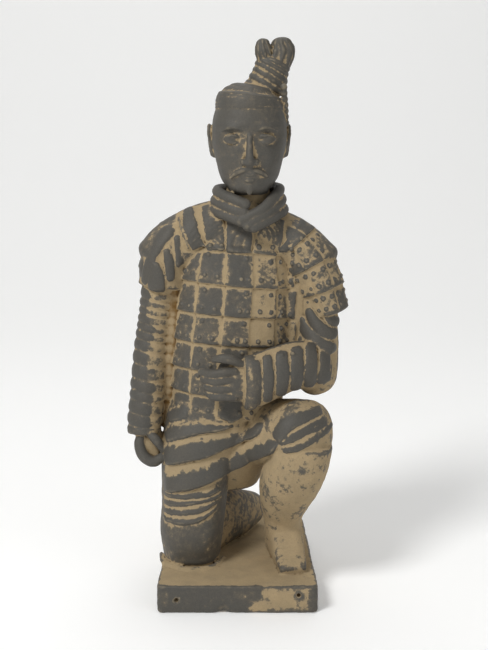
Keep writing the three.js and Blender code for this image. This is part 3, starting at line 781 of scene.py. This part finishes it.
def surface(stations, square, relief, spots):
    """Points (t, angle) on a limb's skin, with the way each one faces."""
    spots = np.array(spots, float)

    def place(t, angle):
        values, _, wide, deep = axes(stations, t, (1, 0, 0))
        lift = relief(t, angle)
        x = (values[:, 3] + lift) * power(np.sin(angle), 2 / square)
        y = -(values[:, 4] + lift) * power(np.cos(angle), 2 / square)
        return values[:, :3] + wide * x[:, None] + deep * y[:, None]

    t, angle = spots[:, 0], spots[:, 1]
    here = place(t, angle)
    up = place(t + NUDGE, angle) - place(t - NUDGE, angle)
    round_ = place(t, angle + 0.02) - place(t, angle - 0.02)
    normal = np.cross(round_, up)
    normal /= np.linalg.norm(normal, axis=1)[:, None]
    return here, normal


def rivet_spots():
    """Two or three rivets near the ends of every plate, as (t, angle) on the torso."""
    spots = []
    total = BORDERS[-1] - BORDERS[0]
    edges = [-SEAMS[0], *SEAMS]
    for row in range(1, len(BORDERS) - 1):
        low_edge, high_edge = BORDERS[row - 1], BORDERS[row]
        for column in range(-6, 7):
            inner, outer = edges[abs(column)], edges[abs(column) + 1]
            if column == 0:
                pairs = [(0.2, 0.28), (0.2, 0.72), (0.78, 0.2), (0.78, 0.5), (0.78, 0.8)]
            else:
                pairs = [(0.22, 0.72), (0.78, 0.3), (0.78, 0.74)]
            if row == 1:
                pairs = [(0.6, u) for d, u in pairs if d > 0.5 and u != 0.5]
            for down, sideways in pairs:
                t = (high_edge - down * (high_edge - low_edge) - BORDERS[0]) / total
                turn = inner + sideways * (outer - inner)
                spots.append((t, math.copysign(turn, column or 1) + chest_turn(t)))
    return spots


# rivets on the top row and the flank: (x, z)
LOOSE_RIVETS = [
    (-19.5, 254), (-11.5, 254), (25, 252), (15.5, 252.5), (38.5, 250.5), (45.5, 258.5),
    (31.5, 241), (39, 240), (30.5, 226), (38.5, 226), (31, 216), (38.5, 202), (31, 202), (32, 193),
    (39, 180), (31.5, 180),
]
PAD_RIVETS = {
    "heights": (0.07, 0.19, 0.32, 0.44, 0.57, 0.69),
    "turns": (-0.9, -0.45, -0.1, 0.3, 0.65, 1.1, 1.4),
}


def rivet_points():
    here, normal = surface(TORSO, 2.3, lambda t, angle: chest_plates(t, angle)[0], rivet_spots())
    pad = [(t, turn) for t in PAD_RIVETS["heights"] for turn in PAD_RIVETS["turns"]]
    there, facing_out = surface(LEFT_SHOULDER, 2, scale_relief(LEFT_TURN), pad)
    return np.vstack([here, there]), np.vstack([normal, facing_out])


def rivet_tree():
    tree = bpy.data.node_groups.new("rivets_on_plates", "GeometryNodeTree")
    face = tree.interface
    face.new_socket("Geometry", in_out="INPUT", socket_type="NodeSocketGeometry")
    radius = face.new_socket("Rivet radius", in_out="INPUT", socket_type="NodeSocketFloat")
    rise = face.new_socket("Rivet height", in_out="INPUT", socket_type="NodeSocketFloat")
    clay = face.new_socket("Clay", in_out="INPUT", socket_type="NodeSocketMaterial")
    face.new_socket("Geometry", in_out="OUTPUT", socket_type="NodeSocketGeometry")
    add, link = tree.nodes.new, tree.links.new
    start = add("NodeGroupInput")
    head = add("GeometryNodeMeshUVSphere")
    head.inputs["Segments"].default_value = 12
    head.inputs["Rings"].default_value = 8
    head.inputs["Radius"].default_value = 1
    size = add("ShaderNodeCombineXYZ")
    for axis in "XY":
        link(start.outputs["Rivet radius"], size.inputs[axis])
    link(start.outputs["Rivet height"], size.inputs["Z"])
    squash = add("GeometryNodeTransform")
    link(head.outputs["Mesh"], squash.inputs["Geometry"])
    link(size.outputs["Vector"], squash.inputs["Scale"])
    out = add("GeometryNodeInputNamedAttribute")
    out.data_type = "FLOAT_VECTOR"
    out.inputs["Name"].default_value = "outwards"
    turn = add("FunctionNodeAlignRotationToVector")
    turn.axis = "Z"
    link(out.outputs["Attribute"], turn.inputs["Vector"])
    spread = add("GeometryNodeInstanceOnPoints")
    link(start.outputs["Geometry"], spread.inputs["Points"])
    link(squash.outputs["Geometry"], spread.inputs["Instance"])
    link(turn.outputs["Rotation"], spread.inputs["Rotation"])
    real = add("GeometryNodeRealizeInstances")
    link(spread.outputs["Instances"], real.inputs["Geometry"])
    coat = add("GeometryNodeSetMaterial")
    link(real.outputs["Geometry"], coat.inputs["Geometry"])
    link(start.outputs["Clay"], coat.inputs["Material"])
    end = add("NodeGroupOutput")
    link(coat.outputs["Geometry"], end.inputs["Geometry"])
    return tree, radius.identifier, rise.identifier, clay.identifier


def add_rivets(cast, clay):
    """Instances a domed head on every rivet point, then presses them into the cast as plain mesh."""
    points, normals = rivet_points()
    skin = np.vstack(cast.points)
    skin = skin[(skin[:, 2] > 150) & (skin[:, 1] < 0)]
    for x, z in LOOSE_RIVETS:
        close = skin[np.hypot(skin[:, 0] - x, skin[:, 2] - z) < 1.2]
        points = np.vstack([points, [x, close[:, 1].min() if len(close) else -20, z]])
        normals = np.vstack([normals, [0, -1, 0]])
    mesh = bpy.data.meshes.new("rivet_points")
    mesh.from_pydata([tuple(p) for p in points], [], [])
    outwards = mesh.attributes.new("outwards", "FLOAT_VECTOR", "POINT")
    outwards.data.foreach_set("vector", normals.astype(np.float32).ravel())
    carrier = bpy.data.objects.new("rivet_points", mesh)
    bpy.context.scene.collection.objects.link(carrier)
    tree, radius, rise, coat = rivet_tree()
    nodes = carrier.modifiers.new("rivets", "NODES")
    nodes.node_group = tree
    nodes[radius] = RIVET["radius"]
    nodes[rise] = RIVET["height"]
    nodes[coat] = clay
    made = bpy.data.meshes.new_from_object(carrier.evaluated_get(bpy.context.evaluated_depsgraph_get()))
    carrier.modifiers.remove(nodes)
    spots = np.empty(len(made.vertices) * 3)
    made.vertices.foreach_get("co", spots)
    made.calc_loop_triangles()
    triangles = np.empty(len(made.loop_triangles) * 3, int)
    made.loop_triangles.foreach_get("vertices", triangles)
    triangles = triangles.reshape(-1, 3)
    cast.add(spots.reshape(-1, 3), np.column_stack([triangles, triangles[:, 2]]), 0.8)
    bpy.data.objects.remove(carrier)


# ---------------------------------------------------------------- from the cast to one skin


def mesh_of(name, points, faces):
    """A mesh from quads; a quad whose last two corners are the same is a triangle."""
    mesh = bpy.data.meshes.new(name)
    is_triangle = faces[:, 2] == faces[:, 3]
    counts = np.where(is_triangle, 3, 4)
    starts = np.concatenate([[0], np.cumsum(counts)[:-1]])
    keep = np.ones(faces.shape, bool)
    keep[is_triangle, 3] = False
    mesh.vertices.add(len(points))
    mesh.vertices.foreach_set("co", points.astype(np.float32).ravel())
    mesh.loops.add(int(counts.sum()))
    mesh.loops.foreach_set("vertex_index", faces[keep].astype(np.int32))
    mesh.polygons.add(len(faces))
    mesh.polygons.foreach_set("loop_start", starts.astype(np.int32))
    mesh.update(calc_edges=True)
    return mesh


def coordinates(mesh):
    points = np.empty(len(mesh.vertices) * 3)
    mesh.vertices.foreach_get("co", points)
    return points.reshape(-1, 3)


def normals_of(mesh):
    normals = np.empty(len(mesh.vertices) * 3)
    mesh.vertex_normals.foreach_get("vector", normals)
    return normals.reshape(-1, 3)


def edges_of(mesh):
    edges = np.empty(len(mesh.edges) * 2, int)
    mesh.edges.foreach_get("vertices", edges)
    return edges.reshape(-1, 2)


def soften(values, edges, rounds, amount=0.5):
    """Averages values with their neighbours along the edges, so many rounds."""
    count = np.bincount(edges.ravel(), minlength=len(values)).astype(float)
    for _ in range(rounds):
        mean = np.empty_like(values)
        for k in range(values.shape[1]):
            column = values[:, k]
            mean[:, k] = (np.bincount(edges[:, 0], column[edges[:, 1]], len(values))
                          + np.bincount(edges[:, 1], column[edges[:, 0]], len(values)))
        values = values + amount * (mean / count[:, None] - values)
    return values


def nearest(sources, values, targets):
    tree = KDTree(len(sources))
    for i, p in enumerate(sources.tolist()):
        tree.insert(p, i)
    tree.balance()
    picks = np.fromiter((tree.find(p)[1] for p in targets.tolist()), int, len(targets))
    return values[picks]


# holes and knocks: middle, radius, depth
KNOCKS = [
    ((-43.2, -78, 9.5), 1.6, 2.4), ((43.2, -78, 13.2), 1.6, 2.4),
    ((44.5, -20, 207), 4.2, 1.1), ((-10, -78, 1.5), 5, 1.2), ((22, -78, 17), 6, 0.7), ((53, -60, 20), 4, 1.0),
]


def knock(points, normals):
    dent = np.zeros(len(points))
    for middle, radius, depth in KNOCKS:
        gap = np.linalg.norm(points - np.array(middle), axis=1) / radius
        dent += depth * np.exp(-(gap**4))
    return points - normals * dent[:, None]


def skin_of(cast, clay):
    """Joins the cast into one skin, softens it, weathers it and writes its finish values."""
    points = np.vstack(cast.points)
    tones = np.concatenate(cast.tones)
    rough_mesh = mesh_of("cast", points, np.vstack(cast.faces))
    blank = bpy.data.objects.new("cast", rough_mesh)
    bpy.context.scene.collection.objects.link(blank)
    join = blank.modifiers.new("join", "REMESH")
    join.mode = "VOXEL"
    join.voxel_size = VOXEL
    dense = bpy.data.meshes.new_from_object(blank.evaluated_get(bpy.context.evaluated_depsgraph_get()))
    blank.modifiers.remove(join)
    edges = edges_of(dense)
    spots = soften(coordinates(dense), edges, 2)
    normals = normals_of(dense)
    shades = nearest(points[::2], tones[::2], spots)
    shades = soften(shades[:, None], edges, 2)[:, 0]
    # hand-made unevenness, and the wear of handling
    lumps = sum(height * rough(spots, size, seed) for height, size, seed in UNEVEN)
    spots = spots + normals * lumps[:, None]
    spots = knock(spots, normals)
    near_mean = soften(spots, edges, 4)
    far_mean = soften(near_mean, edges, 26)
    fine_hollow = np.sum((near_mean - spots) * normals, axis=1)
    hollow = np.sum((far_mean - spots) * normals, axis=1)
    spots[:, 2] = np.maximum(spots[:, 2], 0)
    dense.vertices.foreach_set("co", spots.astype(np.float32).ravel())
    dense.update()
    values = np.column_stack([shades, fine_hollow, hollow])

    blank.data = dense
    thin = blank.modifiers.new("thin", "DECIMATE")
    thin.ratio = TRIANGLES / (2 * len(dense.polygons))
    made = bpy.data.meshes.new_from_object(blank.evaluated_get(bpy.context.evaluated_depsgraph_get()))
    blank.modifiers.remove(thin)
    values = nearest(spots, values, coordinates(made))
    made.vertices.foreach_set("co", (coordinates(made) * MM).astype(np.float32).ravel())
    for name, column in zip(("dark", "crease", "hollow"), values.T):
        layer = made.attributes.new(name, "FLOAT", "POINT")
        layer.data.foreach_set("value", column.astype(np.float32))
    made.polygons.foreach_set("use_smooth", np.ones(len(made.polygons), bool))
    made.materials.clear()
    made.materials.append(clay)
    made.update()
    bpy.data.objects.remove(blank)
    return made


# ---------------------------------------------------------------- finishes


class Nodes:
    """Short hand for adding and joining shader nodes."""

    def __init__(self, tree):
        self.tree = tree

    def add(self, kind, inputs=None, **settings):
        node = self.tree.nodes.new(kind)
        for key, value in settings.items():
            setattr(node, key, value)
        for key, value in (inputs or {}).items():
            if isinstance(value, bpy.types.NodeSocket):
                self.tree.links.new(value, node.inputs[key])
            else:
                node.inputs[key].default_value = value
        return node

    def sum(self, operation, a, b=0.0):
        return self.add("ShaderNodeMath", {0: a, 1: b}, operation=operation).outputs[0]

    def noise(self, where, scale, detail=4.0, roughness=0.6):
        inputs = {"Vector": where, "Scale": scale, "Detail": detail, "Roughness": roughness}
        return self.add("ShaderNodeTexNoise", inputs).outputs["Fac"]

    def span(self, value, low_edge, high_edge):
        inputs = {"Value": value, "From Min": low_edge, "From Max": high_edge}
        return self.add("ShaderNodeMapRange", inputs, interpolation_type="SMOOTHSTEP").outputs[0]

    def mix(self, amount, a, b):
        node = self.add("ShaderNodeMix", data_type="RGBA")
        for socket, value in ((node.inputs[0], amount), (node.inputs[6], a), (node.inputs[7], b)):
            if isinstance(value, bpy.types.NodeSocket):
                self.tree.links.new(value, socket)
            else:
                socket.default_value = value
        return node.outputs[2]

    def attribute(self, name):
        return self.add("ShaderNodeAttribute", attribute_name=name).outputs["Fac"]


def tint(red, green, blue):
    """An sRGB colour given in 0 to 255, as the linear colour that a shader takes."""
    return (*[((c / 255 + 0.055) / 1.055) ** 2.4 if c > 10 else c / 3294.6 for c in (red, green, blue)], 1)


CLAY_DARK = tint(78, 78, 75)
CLAY_WARM = tint(92, 86, 76)
DUST_TAN = tint(182, 159, 122)
DUST_GREY = tint(146, 131, 104)
OCHRE = tint(112, 84, 44)
CLAY_SPECK = tint(58, 58, 56)
DUST_SPECK = tint(120, 104, 80)
# dark brown of the creases: partly dirt, partly painted shade
CREASE_SHADE_AND_DIRT = tint(50, 43, 34)
# light colour on the ridges: partly dust, partly a painted highlight
RIDGE_DUST_AND_HIGHLIGHT = tint(168, 152, 122)


def grain_group():
    """Fine sandy grain of the fired clay, as a height and a speckle."""
    tree = bpy.data.node_groups.new("fired_grain", "ShaderNodeTree")
    tree.interface.new_socket("Grain size", in_out="INPUT", socket_type="NodeSocketFloat").default_value = 900
    tree.interface.new_socket("Height", in_out="OUTPUT", socket_type="NodeSocketFloat")
    tree.interface.new_socket("Speckle", in_out="OUTPUT", socket_type="NodeSocketFloat")
    n = Nodes(tree)
    start = n.add("NodeGroupInput")
    where = n.add("ShaderNodeTexCoord").outputs["Object"]
    size = start.outputs["Grain size"]
    fine = n.noise(where, size, 3.0)
    coarse = n.noise(where, n.sum("MULTIPLY", size, 0.28), 4.0)
    height = n.sum("ADD", n.sum("MULTIPLY", fine, 0.5), coarse)
    end = n.add("NodeGroupOutput")
    n.tree.links.new(height, end.inputs["Height"])
    n.tree.links.new(n.span(fine, 0.35, 0.68), end.inputs["Speckle"])
    return tree


def dust_group():
    """Where the dark coat shows and where dust and ochre lie, from the carving and patchy noise."""
    tree = bpy.data.node_groups.new("rubbed_dust", "ShaderNodeTree")
    for name, value in (("Dark coat", 0.0), ("Patchiness", 1.0)):
        tree.interface.new_socket(name, in_out="INPUT", socket_type="NodeSocketFloat").default_value = value
    for name in ("Dust", "Ochre", "Thin dust"):
        tree.interface.new_socket(name, in_out="OUTPUT", socket_type="NodeSocketFloat")
    n = Nodes(tree)
    start = n.add("NodeGroupInput")
    where = n.add("ShaderNodeTexCoord").outputs["Object"]
    patch = n.sum("SUBTRACT", n.noise(where, 60, 5.0, 0.65), 0.5)
    streak = n.sum("SUBTRACT", n.noise(where, 260, 4.0, 0.7), 0.5)
    hollow = n.attribute("hollow")
    crease = n.attribute("crease")
    bare = n.sum("MULTIPLY", start.outputs["Dark coat"], -0.5)
    bare = n.sum("ADD", bare, n.sum("MULTIPLY", hollow, 0.9))
    bare = n.sum("ADD", bare, n.sum("MULTIPLY", crease, 1.6))
    patches = n.sum("MULTIPLY", n.sum("ADD", n.sum("MULTIPLY", patch, 1.3), n.sum("MULTIPLY", streak, 1.3)),
                    start.outputs["Patchiness"])
    bare = n.sum("ADD", bare, patches)
    end = n.add("NodeGroupOutput")
    n.tree.links.new(n.span(bare, -0.08, 0.16), end.inputs["Dust"])
    n.tree.links.new(n.span(bare, -0.45, 0.25), end.inputs["Thin dust"])
    deep = n.sum("ADD", n.sum("MULTIPLY", hollow, 0.6), n.sum("MULTIPLY", start.outputs["Dark coat"], -0.35))
    deep = n.sum("ADD", deep, patch)
    n.tree.links.new(n.span(deep, 0.5, 0.95), end.inputs["Ochre"])
    return tree


def clay_material():
    clay = bpy.data.materials.new("fired_clay")
    clay.use_nodes = True
    tree = clay.node_tree
    tree.nodes.clear()
    n = Nodes(tree)
    where = n.add("ShaderNodeTexCoord").outputs["Object"]
    grain = n.add("ShaderNodeGroup", node_tree=grain_group())
    grain.inputs["Grain size"].default_value = 900
    dust = n.add("ShaderNodeGroup", node_tree=dust_group())
    tree.links.new(n.attribute("dark"), dust.inputs["Dark coat"])
    base = n.mix(n.noise(where, 35, 4.0), CLAY_DARK, CLAY_WARM)
    base = n.mix(n.sum("MULTIPLY", grain.outputs["Speckle"], 0.25), base, CLAY_SPECK)
    tan = n.mix(n.noise(where, 90, 4.0), DUST_GREY, DUST_TAN)
    tan = n.mix(n.sum("MULTIPLY", grain.outputs["Speckle"], 0.2), tan, DUST_SPECK)
    colour = n.mix(n.sum("MULTIPLY", dust.outputs["Thin dust"], 0.25), base, tan)
    colour = n.mix(dust.outputs["Dust"], colour, tan)
    colour = n.mix(dust.outputs["Ochre"], colour, OCHRE)
    # painted shade: dark brown lines deep in the creases, partly dirt and partly painted shadow; painted
    # highlight: light dust along the ridges, partly dry dust and partly a painted highlight
    crease = n.attribute("crease")
    colour = n.mix(n.sum("MULTIPLY", n.span(crease, 0.06, 0.2), 0.75), colour, CREASE_SHADE_AND_DIRT)
    # the convex ridges lightened: partly dry dust, partly a painted highlight
    ridges = n.span(n.sum("MULTIPLY", crease, -1), 0.05, 0.17)
    ridge_dust_and_highlight = n.sum("MULTIPLY", ridges, n.span(n.noise(where, 150), 0.35, 0.65))
    colour = n.mix(n.sum("MULTIPLY", ridge_dust_and_highlight, 0.5), colour, RIDGE_DUST_AND_HIGHLIGHT)
    dryness = {"Value": dust.outputs["Dust"], "To Min": 0.62, "To Max": 0.95}
    dull = n.add("ShaderNodeMapRange", dryness).outputs[0]
    sand = n.add("ShaderNodeBump", {"Height": grain.outputs["Height"], "Strength": 0.35, "Distance": 0.0004})
    skin = n.add("ShaderNodeBsdfPrincipled", {
        "Base Color": colour, "Roughness": dull, "Normal": sand.outputs["Normal"], "Specular IOR Level": 0.35,
    })
    end = n.add("ShaderNodeOutputMaterial")
    tree.links.new(skin.outputs["BSDF"], end.inputs["Surface"])
    return clay


# ---------------------------------------------------------------- the statue

clay = clay_material()
cast = Cast()
make_plinth(cast)
make_torso(cast)
make_shoulders(cast)
make_right_arm(cast)
make_left_arm(cast)
make_legs(cast)
make_collar(cast)
make_head(cast)
make_hair(cast)
add_rivets(cast, clay)

warrior = bpy.data.objects.new("warrior_carved", skin_of(cast, clay))
bpy.context.scene.collection.objects.link(warrior)
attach(warrior, "root")
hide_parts("kneeling_warrior")

# ---------------------------------------------------------------- floor, light and camera


def backdrop():
    """A pale floor that sweeps up behind."""
    rise = [(y, 0.0) for y in (-3.0, 0.9)]
    rise += [(0.9 + 0.8 * math.sin(a), 0.8 - 0.8 * math.cos(a)) for a in np.radians(np.arange(10, 91, 10))]
    rise += [(1.7, 4.0)]
    points = [(x, y, z) for y, z in rise for x in (-4.0, 4.0)]
    faces = [(2 * i, 2 * i + 1, 2 * i + 3, 2 * i + 2) for i in range(len(rise) - 1)]
    mesh = bpy.data.meshes.new("floor")
    mesh.from_pydata(points, [], faces)
    mesh.polygons.foreach_set("use_smooth", np.ones(len(faces), bool))
    paint = bpy.data.materials.new("pale_floor")
    paint.use_nodes = True
    shader = paint.node_tree.nodes["Principled BSDF"]
    shader.inputs["Base Color"].default_value = (0.93, 0.93, 0.92, 1)
    shader.inputs["Roughness"].default_value = 0.9
    shader.inputs["Emission Color"].default_value = (1, 1, 1, 1)
    shader.inputs["Emission Strength"].default_value = 0.1
    mesh.materials.append(paint)
    floor = bpy.data.objects.new("floor", mesh)
    bpy.context.scene.collection.objects.link(floor)


CHEST = Vector((0, 0, 0.2))


def lamp(name, place, size, watts):
    light = bpy.data.lights.new(name, "AREA")
    light.shape = "DISK"
    light.size = size
    light.energy = watts
    shown = bpy.data.objects.new(name, light)
    shown.location = place
    shown.rotation_euler = (CHEST - Vector(place)).to_track_quat("-Z", "Y").to_euler()
    bpy.context.scene.collection.objects.link(shown)


backdrop()
lamp("key_light", (-0.9, -1.1, 1.6), 0.6, 25)
lamp("fill_light", (1.4, -1.2, 0.9), 1.4, 4)
lamp("top_light", (0, 0.6, 1.9), 1.4, 8)
world = bpy.data.worlds.new("studio")
world.use_nodes = True
world.node_tree.nodes["Background"].inputs["Color"].default_value = (1, 1, 1, 1)
world.node_tree.nodes["Background"].inputs["Strength"].default_value = 0.27
bpy.context.scene.world = world
bpy.context.scene.view_settings.view_transform = "Standard"

camera_data = bpy.data.cameras.new("camera")
camera_data.sensor_width = 36
camera_data.lens = 75.43
camera_data.shift_x = 0.01
camera = bpy.data.objects.new("camera", camera_data)
camera.location = (0, -0.983, 0.387)
camera.rotation_euler = (math.radians(78.8), 0, 0)
bpy.context.scene.collection.objects.link(camera)
bpy.context.scene.camera = camera
